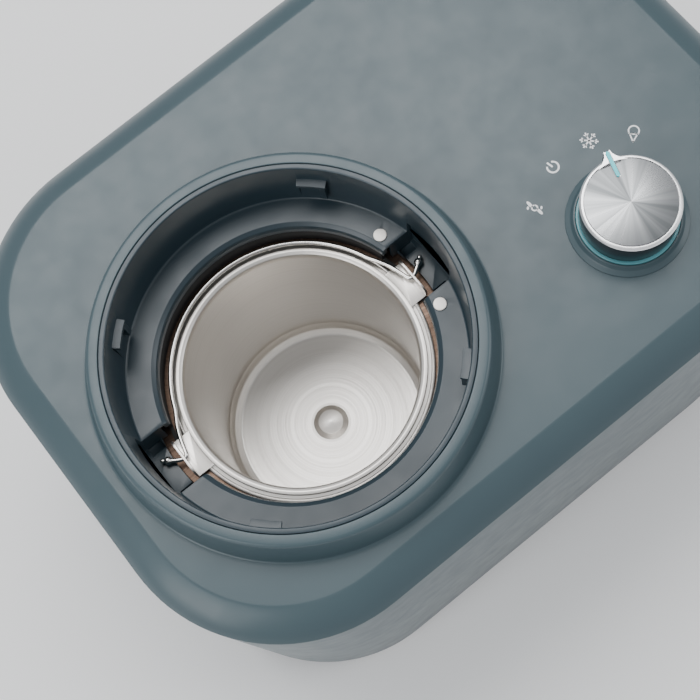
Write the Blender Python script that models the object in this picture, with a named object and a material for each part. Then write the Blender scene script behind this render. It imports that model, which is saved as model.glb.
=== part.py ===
"""Compressor ice cream maker with its lid taken off.

Frame: X along the length (control knob towards +X), Y towards the rear, Z up, origin on the
surface that the feet stand on, below the middle of the body. Helpers take millimetres.
"""
import math

import bmesh
import bpy
from mathutils import Matrix, Vector

MM = 0.001
GAP = 0.3                     # clearance between touching pieces
ROUND = 32                    # facets of a large round
SMALL = 12                    # facets of a small round

# Body
LENGTH = 420.0
DEPTH = 306.0
CORNER = 95.0                 # plan radius of the body's corners
WALL = 2.5
FLOOR_Z = 8.0                 # lower edge of the housing, on 8 mm feet
PARTING_Z = 205.0             # joint between housing and top cover
FLAT_Z = 216.6                # flat of the top cover
EDGE_IN = 18.0                # width of the rounded edge around the flat
SKIN = 2.8                    # thickness of the top cover

# Bowl well, about a vertical axis
WELL = (-76.0, -19.0)
COLLAR_SPLIT = 98.6           # bore of the cover, just outside the collar insert
LEDGE_Z = 199.5               # ledge inside the collar
LEDGE_OUT = 93.6
LEDGE_IN = 79.5
LIP = 76.2                    # inner radius under the ledge
NOTCH_HALF = 18.0             # half width of the notches for the bowl's ears
NOTCH_OUT = 96.2
PAD_Z = 182.5                 # floor pad of a notch
CAN_TOP = 178.0               # flange of the evaporator can
CAN_IN = 68.0
CAN_FLOOR = 41.5

# Bowl and its bail handle
BOWL_IN = 65.4
BOWL_FLOOR = 43.0
SHEET = 1.2
RIM_Z = 182.3
EAR_X = 79.8                  # middle of an upstand plate, from the well's axis
PIVOT_Z = 185.5               # height of the bail's pivots
WIRE = 1.2                    # radius of the bail's wire
BAIL = 72.0                   # radius of the folded bail

# Control knob
KNOB = (104.7, -76.6)
KNOB_TOP = 241.1
KNOB_R = 26.2
POINTER = 73.0                # rest direction of the pointer, degrees from +X

# Cooling
COMPRESSOR = (84.0, 64.0)
FAN_X = 144.0
FAN_Z = 72.0
FAN_SIZE = 92.0
FAN_DEPTH = 20.0
CONDENSER_X = 179.0

CORNERS = {"rear_right": (1, 1), "rear_left": (-1, 1), "front_left": (-1, -1),
           "front_right": (1, -1)}
POST_R = 82.0                 # long posts and feet, from the middle of each corner's radius
FOOT_R = 58.0
COLLAR_SCREWS = (30, 120, 210, 300)       # directions from the well's axis
BOARD = (42.0, -135.0, 142.0, -71.0)      # power board, X and Y limits
PANEL = (66.0, -112.0, 144.0, -42.0)      # control board, X and Y limits
PANEL_Z = 196.0
INLET_X = 100.0
INLET_Z = 30.0


def finish(name, colour, roughness, metallic=0.0):
    """A Principled material, made once for each name."""
    found = bpy.data.materials.get(name)
    if found:
        return found
    material = bpy.data.materials.new(name)
    material.use_nodes = True
    shader = material.node_tree.nodes["Principled BSDF"]
    shader.inputs["Base Color"].default_value = (*colour, 1.0)
    shader.inputs["Roughness"].default_value = roughness
    shader.inputs["Metallic"].default_value = metallic
    material.diffuse_color = (*colour, 1.0)
    return material


def teal_plastic():
    return finish("teal_plastic", (0.13, 0.21, 0.24), 0.42)


def steel():
    return finish("steel", (0.62, 0.61, 0.58), 0.3, 1.0)


def aluminium():
    return finish("aluminium", (0.80, 0.79, 0.76), 0.35, 1.0)


def copper():
    return finish("copper", (0.72, 0.38, 0.22), 0.3, 1.0)


def black_plastic():
    return finish("black_plastic", (0.02, 0.02, 0.022), 0.5)


def black_rubber():
    return finish("black_rubber", (0.012, 0.012, 0.013), 0.8)


def board_green():
    return finish("board_green", (0.03, 0.16, 0.08), 0.5)


def new_piece(name, bm, material):
    """A named object from a bmesh whose points are in millimetres."""
    bmesh.ops.scale(bm, vec=(MM, MM, MM), verts=bm.verts)
    bmesh.ops.recalc_face_normals(bm, faces=bm.faces)
    mesh = bpy.data.meshes.new(name)
    bm.to_mesh(mesh)
    bm.free()
    mesh.shade_smooth()
    mesh.set_sharp_from_angle(angle=math.radians(35))
    piece = bpy.data.objects.new(name, mesh)
    piece.data.materials.append(material)
    bpy.context.scene.collection.objects.link(piece)
    return piece


def set_origin(piece, point):
    """Puts the object's origin on its joint, with its mesh left where it is."""
    shift = Vector(point) * MM
    piece.data.transform(Matrix.Translation(-shift))
    piece.location = shift


def combine(piece, tool, operation):
    """Cuts or adds a hidden helper body."""
    tool.hide_render = True
    tool.display_type = "WIRE"
    modifier = piece.modifiers.new(tool.name, "BOOLEAN")
    modifier.operation = operation
    modifier.object = tool
    return piece


def add_box(bm, low, high):
    middle = [(a + b) / 2 for a, b in zip(low, high)]
    size = [b - a for a, b in zip(low, high)]
    matrix = Matrix.Translation(middle) @ Matrix.Diagonal((*size, 1))
    bmesh.ops.create_cube(bm, size=1, matrix=matrix)


def add_prism(bm, outline, low, high):
    """A plan outline of (x, y) points, extruded from one height to another."""
    face = bm.faces.new([bm.verts.new((x, y, low)) for x, y in outline])
    made = bmesh.ops.extrude_face_region(bm, geom=[face])["geom"]
    tops = [item for item in made if isinstance(item, bmesh.types.BMVert)]
    bmesh.ops.translate(bm, vec=(0, 0, high - low), verts=tops)


def add_turned(bm, profile, centre=(0, 0, 0), axis="Z", steps=ROUND):
    """Turns a profile of (radius, height) points about a line through centre.

    A profile that starts and ends on the line is left open there, and any other is closed.
    """
    before = set(bm.verts)
    line = [bm.verts.new((r, 0, h)) for r, h in profile]
    edges = [bm.edges.new(pair) for pair in zip(line, line[1:])]
    solid = profile[0][0] == 0 and profile[-1][0] == 0
    if not solid:
        edges.append(bm.edges.new((line[-1], line[0])))
    bmesh.ops.spin(bm, geom=line + edges, cent=(0, 0, 0), axis=(0, 0, 1),
                   angle=math.radians(360), steps=steps)
    fresh = [vert for vert in bm.verts if vert not in before]
    bmesh.ops.remove_doubles(bm, verts=fresh, dist=0.002)
    fresh = [vert for vert in bm.verts if vert not in before]
    turn = {"X": Matrix.Rotation(math.radians(90), 4, "Y"),
            "Y": Matrix.Rotation(math.radians(-90), 4, "X"),
            "Z": Matrix.Identity(4)}[axis]
    bmesh.ops.transform(bm, matrix=Matrix.Translation(centre) @ turn, verts=fresh)


def add_rod(bm, radius, low, high, centre=(0, 0), steps=SMALL):
    add_turned(bm, [(0, low), (radius, low), (radius, high), (0, high)],
               centre=(*centre, 0), steps=steps)


def turned(name, profile, material, **options):
    bm = bmesh.new()
    add_turned(bm, profile, **options)
    return new_piece(name, bm, material)


def boxes(name, corners, material):
    bm = bmesh.new()
    for low, high in corners:
        add_box(bm, low, high)
    return new_piece(name, bm, material)


def screw(name, place, low, length, head_r, shank_r):
    """A screw driven upwards, with its head at the bottom."""
    head = 2.4
    turned(name, [(0, low), (head_r, low), (head_r, low + head), (shank_r, low + head),
                  (shank_r, low + head + length), (0, low + head + length)],
           steel(), centre=(*place, 0), steps=8)


def smooth_path(points, per_span=3):
    """Points along a Catmull-Rom curve through the given ones."""
    ends = [Vector(point) for point in points]
    ends = [2 * ends[0] - ends[1], *ends, 2 * ends[-1] - ends[-2]]
    path = []
    for a, b, c, d in zip(ends, ends[1:], ends[2:], ends[3:]):
        for step in range(per_span):
            t = step / per_span
            path.append(0.5 * (2 * b + (c - a) * t + (2 * a - 5 * b + 4 * c - d) * t ** 2
                               + (3 * b - a - 3 * c + d) * t ** 3))
    path.append(ends[-2])
    return path


def tube(name, paths, radius, material, sides=8, radii=None):
    """Round tube along each path, with closed ends."""
    curve = bpy.data.curves.new(name, "CURVE")
    curve.dimensions = "3D"
    curve.bevel_depth = radius * MM
    curve.bevel_resolution = sides // 2 - 2
    curve.use_fill_caps = True
    for path in paths:
        spline = curve.splines.new("POLY")
        spline.points.add(len(path) - 1)
        for i, (point, place) in enumerate(zip(spline.points, path)):
            point.co = (*(Vector(place) * MM), 1)
            if radii:
                point.radius = radii[i]
    piece = bpy.data.objects.new(name, curve)
    piece.data.materials.append(material)
    bpy.context.scene.collection.objects.link(piece)
    return piece


def plan(inset, steps=6):
    """Plan outline of the body, moved inwards."""
    half_x = LENGTH / 2 - CORNER
    half_y = DEPTH / 2 - CORNER
    points = []
    for quarter, (sx, sy) in enumerate(((1, 1), (-1, 1), (-1, -1), (1, -1))):
        for step in range(steps + 1):
            angle = math.radians(90 * (quarter + step / steps))
            points.append((sx * half_x + (CORNER - inset) * math.cos(angle),
                           sy * half_y + (CORNER - inset) * math.sin(angle)))
    return points


def loft(name, levels, material, closed):
    """Skins the plan at each (inset, height), as a closed loop or as a solid with end faces."""
    bm = bmesh.new()
    rings = [[bm.verts.new((x, y, z)) for x, y in plan(inset)] for inset, z in levels]
    pairs = list(zip(rings, rings[1:]))
    if closed:
        pairs.append((rings[-1], rings[0]))
    for lower, upper in pairs:
        for i in range(len(lower)):
            j = (i + 1) % len(lower)
            bm.faces.new((lower[i], lower[j], upper[j], upper[i]))
    if not closed:
        bm.faces.new(rings[0])
        bm.faces.new(rings[-1])
    return new_piece(name, bm, material)


def corner_point(corner, radius):
    """A point on the diagonal of one of the body's rounded corners."""
    sx, sy = CORNERS[corner]
    along = radius * math.sqrt(0.5)
    return (sx * (LENGTH / 2 - CORNER + along), sy * (DEPTH / 2 - CORNER + along))


def well_point(radius, angle):
    return (WELL[0] + radius * math.cos(math.radians(angle)),
            WELL[1] + radius * math.sin(math.radians(angle)))


def knob_point(radius, angle):
    return (KNOB[0] + radius * math.cos(math.radians(angle)),
            KNOB[1] + radius * math.sin(math.radians(angle)))


def housing():
    shell = loft("housing_shell", [(0, PARTING_Z - GAP), (0, FLOOR_Z + 1.2), (1.2, FLOOR_Z),
                                   (WALL, FLOOR_Z), (WALL, PARTING_Z - GAP)],
                 teal_plastic(), closed=True)
    bm = bmesh.new()
    for i in range(11):                                        # air outlet at the end
        y = -45 + 9 * i
        add_box(bm, (LENGTH / 2 - 6, y - 1.8, 36), (LENGTH / 2 + 3, y + 1.8, 126))
    for i in range(9):                                         # air inlet at the rear
        x = -10 + 9 * i
        add_box(bm, (x - 1.8, DEPTH / 2 - 6, 44), (x + 1.8, DEPTH / 2 + 3, 116))
    add_box(bm, (INLET_X - 14, DEPTH / 2 - 6, INLET_Z - 11),
            (INLET_X + 14, DEPTH / 2 + 3, INLET_Z + 11))
    combine(shell, new_piece("housing_cuts", bm, teal_plastic()), "DIFFERENCE")


def edge_levels():
    """The rounded edge from the flat down to the parting line: an arc between two slopes."""
    drop = FLAT_Z - PARTING_Z
    chord = math.hypot(EDGE_IN, drop)
    lean = math.atan2(drop, EDGE_IN)
    turn = math.radians(20)
    radius = chord / (2 * math.sin(turn))
    steps = 4
    levels = []
    for i in range(steps + 1):
        angle = lean - turn + 2 * turn * i / steps
        out = radius * (math.sin(angle) - math.sin(lean - turn))
        down = radius * (math.cos(lean - turn) - math.cos(angle))
        levels.append((EDGE_IN - out, FLAT_Z - down))
    return levels


def top_cover():
    levels = edge_levels() + [(WALL + GAP, PARTING_Z), (WALL + GAP, PARTING_Z - 6),
                              (5.0, PARTING_Z - 6), (5.0, PARTING_Z - 1),
                              (EDGE_IN + 1, FLAT_Z - SKIN)]
    cover = loft("top_cover", levels, teal_plastic(), closed=False)
    bm = bmesh.new()
    add_turned(bm, [(96, 213), (112, 215.4), (109.6, 217.6), (105.6, 233.2), (103.6, 235.6),
                    (101.6, 236.0), (96, 236.0)],
               centre=(*WELL, 0))
    combine(cover, new_piece("raised_collar", bm, teal_plastic()), "UNION")
    bm = bmesh.new()
    for angle in COLLAR_SCREWS:                                # bosses for the collar screws
        add_rod(bm, 3.4, 211.3, FLAT_Z - 1.2, well_point(112.6, angle), 8)
    for corner in CORNERS:                                     # long posts down to the base
        add_rod(bm, 4.4, 11.2, FLAT_Z - 4, corner_point(corner, POST_R), 8)
    for place in panel_posts():
        add_rod(bm, 3.0, PANEL_Z + 1.9, FLAT_Z - 1, place, 8)
    combine(cover, new_piece("cover_adds", bm, teal_plastic()), "UNION")
    bm = bmesh.new()
    add_rod(bm, COLLAR_SPLIT, 205, 240, WELL, ROUND)
    add_turned(bm, [(100.8, 208), (107.2, 208), (107.2, 217), (103.2, 232.6), (100.8, 233.0)],
               centre=(*WELL, 0))
    add_rod(bm, 27.4, 206, 225, KNOB, 32)
    for angle in COLLAR_SCREWS:
        add_rod(bm, 1.3, 205, 214.6, well_point(112.6, angle), 8)
    for corner in CORNERS:
        add_rod(bm, 1.5, 5, 34, corner_point(corner, POST_R), 8)
    for place in panel_posts():
        add_rod(bm, 1.2, 190, 212, place, 8)
    combine(cover, new_piece("cover_openings", bm, teal_plastic()), "DIFFERENCE")


def sector(radius_in, radius_out, start, end, steps=6):
    """Plan outline of a piece of a ring about the well's axis."""
    outer = [well_point(radius_out, start + (end - start) * i / steps) for i in range(steps + 1)]
    inner = [well_point(radius_in, end + (start - end) * i / steps) for i in range(steps + 1)]
    return outer + inner


def notch_plan(side, half_width, radius, inner_x):
    """Plan of a notch on one side: straight flanks, closed by an arc about the well's axis."""
    reach = math.degrees(math.asin(half_width / radius))
    arc = [math.radians(-reach + 2 * reach * i / 6) for i in range(7)]
    points = [(radius * math.cos(a), radius * math.sin(a)) for a in arc]
    points += [(inner_x, half_width), (inner_x, -half_width)]
    return [(WELL[0] + side * x, WELL[1] + y) for x, y in points]


def well_collar():
    collar = turned("well_collar", [
        (98.3, 211.0), (98.3, 235.8), (97.0, 235.8), (95.6, 234.8), (95.0, 233.5),
        (LEDGE_OUT, 200.8), (92.4, LEDGE_Z), (LEDGE_IN, LEDGE_Z), (77.2, 198.2), (LIP, 195.8),
        (LIP, 192.0), (79.4, 192.0), (79.4, 197.0), (95.0, 197.0), (98.3, 208.5), (117.0, 208.5),
        (117.0, 211.0)],
        teal_plastic(), centre=(*WELL, 0))
    bm = bmesh.new()
    for side in (1, -1):                                       # walls of the notches
        add_prism(bm, notch_plan(side, NOTCH_HALF + 2.2, NOTCH_OUT + 2.0, 79.6), 179.0, LEDGE_Z)
    for angle in (45, 135, 225, 315):                          # bayonet lugs
        add_prism(bm, sector(90.2, 95.6, angle - 5, angle + 5), 221.0, 223.5)
    combine(collar, new_piece("collar_adds", bm, teal_plastic()), "UNION")
    bm = bmesh.new()
    for side in (1, -1):                                       # backs of the notches, in the collar
        add_prism(bm, notch_plan(side, NOTCH_HALF + 2.2, NOTCH_OUT + 2.0, 92.6), 198.0, 212.5)
    combine(collar, new_piece("notch_backs", bm, teal_plastic()), "UNION")
    bm = bmesh.new()
    for angle in (45, 135, 225, 315):
        add_prism(bm, sector(90.4, 95.8, angle - 4.9, angle - 2.4), 206.0, 222.0)
    combine(collar, new_piece("lug_stops", bm, teal_plastic()), "UNION")
    bm = bmesh.new()
    for side in (1, -1):
        add_prism(bm, notch_plan(side, NOTCH_HALF, NOTCH_OUT, 60), PAD_Z, 211.6)
    combine(collar, new_piece("collar_notches", bm, teal_plastic()), "DIFFERENCE")
    bm = bmesh.new()
    for side in (1, -1):
        add_prism(bm, notch_plan(side, NOTCH_HALF, 84.9, 60), 170, 186)
    combine(collar, new_piece("notch_mouths", bm, teal_plastic()), "DIFFERENCE")
    bm = bmesh.new()
    for side in (1, -1):
        for flank in (1, -1):
            low = (WELL[0] + side * 84.0, WELL[1] + flank * 12.5)
            high = (WELL[0] + side * 92.6, WELL[1] + flank * 17.99)
            add_box(bm, (min(low[0], high[0]), min(low[1], high[1]), 180.2),
                    (max(low[0], high[0]), max(low[1], high[1]), 184))
    for angle in (18.1, -18.1):                                # contact stems
        add_rod(bm, 1.9, 190, 205, well_point(83.1, angle), 12)
    for angle in COLLAR_SCREWS:
        add_rod(bm, 1.7, 200, 215, well_point(112.6, angle), 8)
    combine(collar, new_piece("collar_cuts", bm, teal_plastic()), "DIFFERENCE")
    for i, angle in enumerate(COLLAR_SCREWS):
        screw(f"collar_screw_{i + 1}", well_point(112.6, angle), 205.8, 6.0, 3.0, 1.0)


def gasket():
    low = CAN_TOP + GAP
    ring = turned("collar_gasket", [(77.0, low), (79.1, low), (79.1, 191.7), (77.0, 191.7)],
                  black_rubber(), centre=(*WELL, 0))
    notches = boxes("gasket_notches", [((WELL[0] - 90, WELL[1] - 20.6, low + 1.0),
                                        (WELL[0] + 90, WELL[1] + 20.6, 200))], black_rubber())
    combine(ring, notches, "DIFFERENCE")


def contacts():
    for side, angle in (("rear", 18.1), ("front", -18.1)):
        top = LEDGE_Z + 1.0
        turned(f"contact_pin_{side}", [(0, 188), (1.5, 188), (1.5, LEDGE_Z + GAP),
                                       (3.7, LEDGE_Z + GAP), (3.7, top), (0, top)],
               steel(), centre=(*well_point(83.1, angle), 0), steps=16)


def can_and_cooling():
    out = CAN_IN + 1.2
    turned("evaporator_can", [
        (0, CAN_FLOOR - 1.2), (66.4, CAN_FLOOR - 1.2), (out, 43.0), (out, 176.8), (88.0, 176.8),
        (88.0, CAN_TOP), (69.2, CAN_TOP), (CAN_IN, 176.8), (CAN_IN, 43.6), (66.2, CAN_FLOOR),
        (0, CAN_FLOOR)],
        aluminium(), centre=(*WELL, 0))
    turns = 6
    path = []
    facets = 18
    for i in range(turns * facets + 1):
        path.append((*well_point(74.6, 360 * i / facets), 64 + 16 * i / facets))
    path += [(6, -18.2, 160.4), (14, -18, 160.8), (27, -18, 161)]
    tube("evaporator_coil", [path], 3.5, copper(), sides=6)
    foam = turned("insulation_cup", [
        (0, 11.2), (100, 11.2), (100, 176.4), (82, 176.4), (82, 56), (69.6, 52), (69.6, 40.0),
        (0, 40.0)], finish("foam", (0.78, 0.78, 0.74), 0.9), centre=(*WELL, 0))
    combine(foam, boxes("foam_channel", [((-2, -29, 152), (30, -10, 180))], steel()), "DIFFERENCE")
    turned("well_sensor", [(0, 57), (1.8, 58), (1.8, 69), (0, 70)], copper(),
           centre=(*well_point(72.6, 270), 0), steps=10)


def base():
    plate = loft("base_plate", [(WALL + GAP, 8.3), (WALL + GAP, 10.8)],
                 finish("base_grey", (0.10, 0.11, 0.12), 0.6), closed=False)
    bm = bmesh.new()
    for corner in CORNERS:
        add_rod(bm, 3.9, 5, 14, corner_point(corner, FOOT_R), 12)
        add_rod(bm, 1.8, 5, 14, corner_point(corner, POST_R), 10)
    for place in compressor_mounts():
        add_rod(bm, 2.6, 5, 14, place, 10)
    for i in range(6):                                         # air slots under the compressor
        y = 39 + 10 * i
        add_box(bm, (62, y - 2, 5), (106, y + 2, 14))
    combine(plate, new_piece("base_cuts", bm, steel()), "DIFFERENCE")
    for corner in CORNERS:
        turned(f"foot_{corner}", [
            (0, 0), (9.6, 0), (11, 1.4), (11, 8.0), (3.6, 8.0), (3.6, 11.1), (5.0, 11.5),
            (3.2, 14.6), (0, 14.6)], black_rubber(), centre=(*corner_point(corner, FOOT_R), 0),
            steps=14)
        screw(f"base_screw_{corner}", corner_point(corner, POST_R), 5.6, 22, 3.2, 1.2)


def compressor_mounts():
    """Three feet, as small compressors have."""
    return [(COMPRESSOR[0] + 62 * math.cos(math.radians(angle)),
             COMPRESSOR[1] + 62 * math.sin(math.radians(angle))) for angle in (50, 170, 290)]


def compressor():
    black_paint = finish("black_paint", (0.015, 0.015, 0.016), 0.35)
    turned("compressor_body", [
        (0, 24), (30, 25.4), (43, 32), (48, 48), (48, 84), (51, 85.4), (51, 88.6), (48, 90),
        (48, 108), (44, 123), (32, 134), (0, 138)],
        black_paint, centre=(*COMPRESSOR, 0), steps=20)
    bm = bmesh.new()
    middles = [math.radians(angle) for angle in (50, 170, 290)]
    outline = [(COMPRESSOR[0] + 72 * math.cos(middle + side),
                COMPRESSOR[1] + 72 * math.sin(middle + side))
               for middle in middles for side in (-0.16, 0.16)]
    add_prism(bm, outline, 21.5, 23.7)
    plate = new_piece("compressor_plate", bm, black_paint)
    bm = bmesh.new()
    for place in compressor_mounts():
        add_rod(bm, 3.0, 18, 28, place, 10)
    combine(plate, new_piece("plate_bores", bm, steel()), "DIFFERENCE")
    for i, place in enumerate(compressor_mounts()):
        turned(f"compressor_grommet_{i + 1}", [
            (2.9, 11.1), (8.5, 11.1), (8.5, 14), (6.5, 16), (8, 18.5), (8, 21.2), (2.9, 21.2)],
            black_rubber(), centre=(*place, 0), steps=12)
        turned(f"compressor_bolt_{i + 1}", [
            (0, 6.4), (4.2, 6.4), (4.2, 8.0), (2.2, 8.0), (2.2, 24.0), (5.2, 24.0), (5.2, 27.6),
            (0, 27.6)], steel(), centre=(*place, 0), steps=8)
    x, y = COMPRESSOR
    boxes("compressor_cap", [((x - 16, y - 70, 92), (x + 16, y - 48.3, 118))], black_plastic())


def cooling_lines():
    rows = 9
    pitch = 12.0
    half = 44.0
    path = [(152.5, 84, 106), (162, 82, 112), (172, 74, 118), (CONDENSER_X, 60, 120)]
    for row in range(rows):
        z = 120 - pitch * row
        side = 1 if row % 2 == 0 else -1
        path += [(CONDENSER_X, side * half, z), (CONDENSER_X, -side * half, z)]
        if row == rows - 1:
            break
        for step in range(1, 4):
            angle = math.radians(180 * step / 4)
            path.append((CONDENSER_X, -side * (half + pitch / 2 * math.sin(angle)),
                         z - pitch / 2 + pitch / 2 * math.cos(angle)))
    path += smooth_path([(CONDENSER_X, -52, 24), (175, -58, 27), (164, -63, 33), (158.4, -66, 34),
                         (158, -69.4, 34)], 2)
    tube("condenser_tube", [path], 2.5, copper(), sides=6)
    x = CONDENSER_X - 2.5 - GAP
    grid = boxes("condenser_grid", [((x - 1.2, -50, 11.1), (x, 50, 128))], steel())
    slots = [((x - 4, y - 2.2, 20), (x + 3, y + 2.2, 122)) for y in range(-42, 43, 7)]
    combine(grid, boxes("grid_slots", slots, steel()), "DIFFERENCE")
    turned("filter_drier", [(0, -122), (2.4, -122), (2.4, -116), (8, -110), (8, -84), (2.8, -76),
                            (2.8, -70), (0, -70)][::-1], copper(), centre=(158, 0, 34), axis="Y",
           steps=16)
    tube("discharge_tube", [smooth_path([(132.5, 64, 104), (138, 64.5, 104.5), (145, 76, 105.2),
                                         (149.9, 81.8, 105.5)])], 2.5, copper())
    riser = [(*well_point(79.6, -4.5), z) for z in (158, 140, 120, 100, 84, 68)]
    tube("capillary_tube", [smooth_path([
        (158, -123, 34), (158, -126.5, 34.4), (151, -128, 60), (132, -122, 100), (100, -100, 140),
        (64, -60, 160), (38, -30, 166), (26, -25, 167), (14, -25, 166),
        (5.5, -25.2, 164)] + riser, 2)],
        1.0, copper(), sides=6)
    tube("suction_tube", [smooth_path([(28, -18, 161), (33, -17.9, 161), (41, -10, 158),
                                       (43, 6, 140), (41, 14, 120), (45, 18.8, 107),
                                       (52.2, 27.2, 104)])],
         3.2, copper())


def fan():
    centre = (0, 0, FAN_Z)
    half = FAN_SIZE / 2
    black = black_plastic()
    frame = boxes("fan_frame", [((FAN_X, -half, FAN_Z - half), (FAN_X + FAN_DEPTH, half, FAN_Z + half))],
                  black)
    bm = bmesh.new()
    add_turned(bm, [(0, FAN_X - 2), (43, FAN_X - 2), (43, FAN_X + FAN_DEPTH + 2),
                    (0, FAN_X + FAN_DEPTH + 2)], centre=centre, axis="X", steps=24)
    combine(frame, new_piece("fan_bore", bm, black), "DIFFERENCE")
    bm = bmesh.new()
    add_turned(bm, [(0, FAN_X + 0.5), (16, FAN_X + 0.5), (16, FAN_X + 3), (0, FAN_X + 3)],
               centre=centre, axis="X", steps=24)
    combine(frame, new_piece("fan_spider", bm, black), "UNION")
    arms = boxes("fan_arms", [((FAN_X + 0.8, -half + 2, FAN_Z - 2), (FAN_X + 2.8, half - 2, FAN_Z + 2))],
                 black)
    combine(frame, arms, "UNION")
    cross = boxes("fan_cross", [((FAN_X + 0.9, -2, FAN_Z - half + 2), (FAN_X + 2.7, 2, FAN_Z + half - 2))],
                  black)
    combine(frame, cross, "UNION")
    corners = [(sy * 41.2, FAN_Z + sz * 41.2) for sy in (1, -1) for sz in (1, -1)]
    bm = bmesh.new()
    for y, z in corners:
        add_turned(bm, [(0, FAN_X - 2), (2.2, FAN_X - 2), (2.2, 175), (0, 175)],
                   centre=(0, y, z), axis="X", steps=10)
    bores = new_piece("fan_screw_bores", bm, black)
    combine(frame, bores, "DIFFERENCE")
    x = FAN_X + FAN_DEPTH + GAP
    bracket = boxes("fan_bracket", [((x, -50, 11.1), (x + 1.5, 50, 120))], steel())
    bm = bmesh.new()
    add_turned(bm, [(0, x - 2), (43, x - 2), (43, x + 4), (0, x + 4)], centre=centre, axis="X",
               steps=24)
    for y, z in corners:
        add_turned(bm, [(0, x - 2), (2.1, x - 2), (2.1, x + 4), (0, x + 4)],
                   centre=(0, y, z), axis="X", steps=10)
    combine(bracket, new_piece("bracket_cuts", bm, steel()), "DIFFERENCE")
    turned("fan_motor", [(1.8, FAN_X + 3.3), (12.5, FAN_X + 3.3), (12.5, 157), (1.8, 157)],
           copper(), centre=centre, axis="X", steps=24)
    rotor = turned("fan_rotor", [(0, 148.6), (1.4, 148.6), (1.4, 159), (14.6, 159), (14.6, 149),
                                 (17.5, 149), (17.5, 161), (16.5, 162), (0, 162)],
                   black, centre=centre, axis="X", steps=20)
    bm = bmesh.new()
    blade = [(-6.2, -0.7), (5.8, -0.7), (5.8, 0.7), (-6.2, 0.7)]
    for i in range(7):
        before = set(bm.verts)
        add_prism(bm, blade, 16.4, 40.8)
        fresh = [vert for vert in bm.verts if vert not in before]
        pitch = Matrix.Rotation(math.radians(35), 4, "Z")
        turn = Matrix.Rotation(math.radians(360 * i / 7), 4, "X")
        place = Matrix.Translation((155.4, 0, FAN_Z)) @ turn @ pitch
        bmesh.ops.transform(bm, matrix=place, verts=fresh)
    combine(rotor, new_piece("fan_blades", bm, black), "UNION")
    set_origin(rotor, (155, 0, FAN_Z))


def panel_posts():
    return [(x, y) for x in (PANEL[0] + 5, PANEL[2] - 5) for y in (PANEL[1] + 5, PANEL[3] - 5)]


def board_posts():
    return [(x, y) for x in (BOARD[0] + 5, BOARD[2] - 5) for y in (BOARD[1] + 5, BOARD[3] - 5)]


def electronics():
    green = board_green()
    board = boxes("power_board", [((BOARD[0], BOARD[1], 22), (BOARD[2], BOARD[3], 23.6))], green)
    bm = bmesh.new()
    add_box(bm, (52, -118, 23), (78, -92, 48))                 # transformer
    add_box(bm, (52, -88, 23), (70, -76, 38))                  # relay
    add_box(bm, (118, -88, 23), (136, -78, 34))                # terminal block
    add_rod(bm, 9, 23, 50, (96, -116), 20)                     # reservoir capacitor
    add_rod(bm, 7, 23, 38, (98, -92), 16)                      # choke
    for place in board_posts():
        add_rod(bm, 3.4, 11.1, 23, place, 12)
    combine(board, new_piece("board_adds", bm, green), "UNION")
    panel = boxes("control_board", [((PANEL[0], PANEL[1], PANEL_Z), (PANEL[2], PANEL[3], PANEL_Z + 1.6))],
                  green)
    bm = bmesh.new()
    for i in range(8):                                         # light-emitting diodes
        x, y = knob_point(26.2, 45 * i + 22.5)
        add_box(bm, (x - 1.3, y - 1.3, PANEL_Z + 1), (x + 1.3, y + 1.3, PANEL_Z + 2.8))
    combine(panel, new_piece("panel_lights", bm, green), "UNION")
    x, y = KNOB
    encoder = boxes("rotary_encoder", [((x - 7, y - 7, PANEL_Z + 1.9), (x + 7, y + 7, 205))], steel())
    bm = bmesh.new()
    add_rod(bm, 4.6, 203, 211, KNOB, 20)
    combine(encoder, new_piece("encoder_bush", bm, steel()), "UNION")
    bm = bmesh.new()
    add_rod(bm, 3.3, 201, 215, KNOB, 20)
    combine(encoder, new_piece("encoder_bore", bm, steel()), "DIFFERENCE")


def inlet():
    x, z = INLET_X, INLET_Z
    rear = DEPTH / 2
    body = boxes("mains_inlet", [((x - 13.7, rear - 27, z - 10.7), (x + 13.7, rear - 0.4, z + 10.7))],
                 black_plastic())
    socket = boxes("inlet_socket", [((x - 11, rear - 17, z - 8), (x + 11, rear + 2, z + 8))], steel())
    combine(body, socket, "DIFFERENCE")
    cuts = bmesh.new()
    pins = [(x - 7, z - 2), (x + 7, z - 2), (x, z + 2.5)]
    for px, pz in pins:
        add_box(cuts, (px - 1.3, rear - 25, pz - 2.3), (px + 1.3, rear - 10, pz + 2.3))
    combine(body, new_piece("inlet_cuts", cuts, steel()), "DIFFERENCE")
    for name, (px, pz) in zip(("line", "neutral", "earth"), pins):
        boxes(f"inlet_pin_{name}", [((px - 1, rear - 24.6, pz - 2), (px + 1, rear - 4, pz + 2))],
              steel())
    grey = finish("lead_grey", (0.2, 0.2, 0.2), 0.6)
    tube("mains_lead", [smooth_path([
        (x, rear - 28, z), (x, 121, z - 0.5), (x - 16, 123, 20), (x - 50, 124, 16), (22, 118, 15),
        (6, 98, 15), (5, 76, 15), (9.5, 48, 15), (17.5, 24, 15), (26.5, -2, 15), (29, -30, 15),
        (32, -58, 16), (35, -72, 21.5), (40.9, -75, 22.8)])], 2.2, grey, sides=6)
    tube("contact_lead_rear", [smooth_path([
        (*well_point(83.1, 18.1), 187.3), (*well_point(83.1, 18.1), 185), (14, 8, 183),
        (27, 5, 184), (34, -10, 187), (48, -36, 191), (60, -50, 196), (65.2, -53, 196.8)])],
        1.0, grey, sides=6)
    tube("contact_lead_front", [smooth_path([
        (*well_point(83.1, -18.1), 187.3), (*well_point(83.1, -18.1), 185), (12, -50, 182),
        (32, -62, 187), (54, -72, 195.4), (65.5, -75, 196.8)])], 1.0, grey, sides=6)


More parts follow.
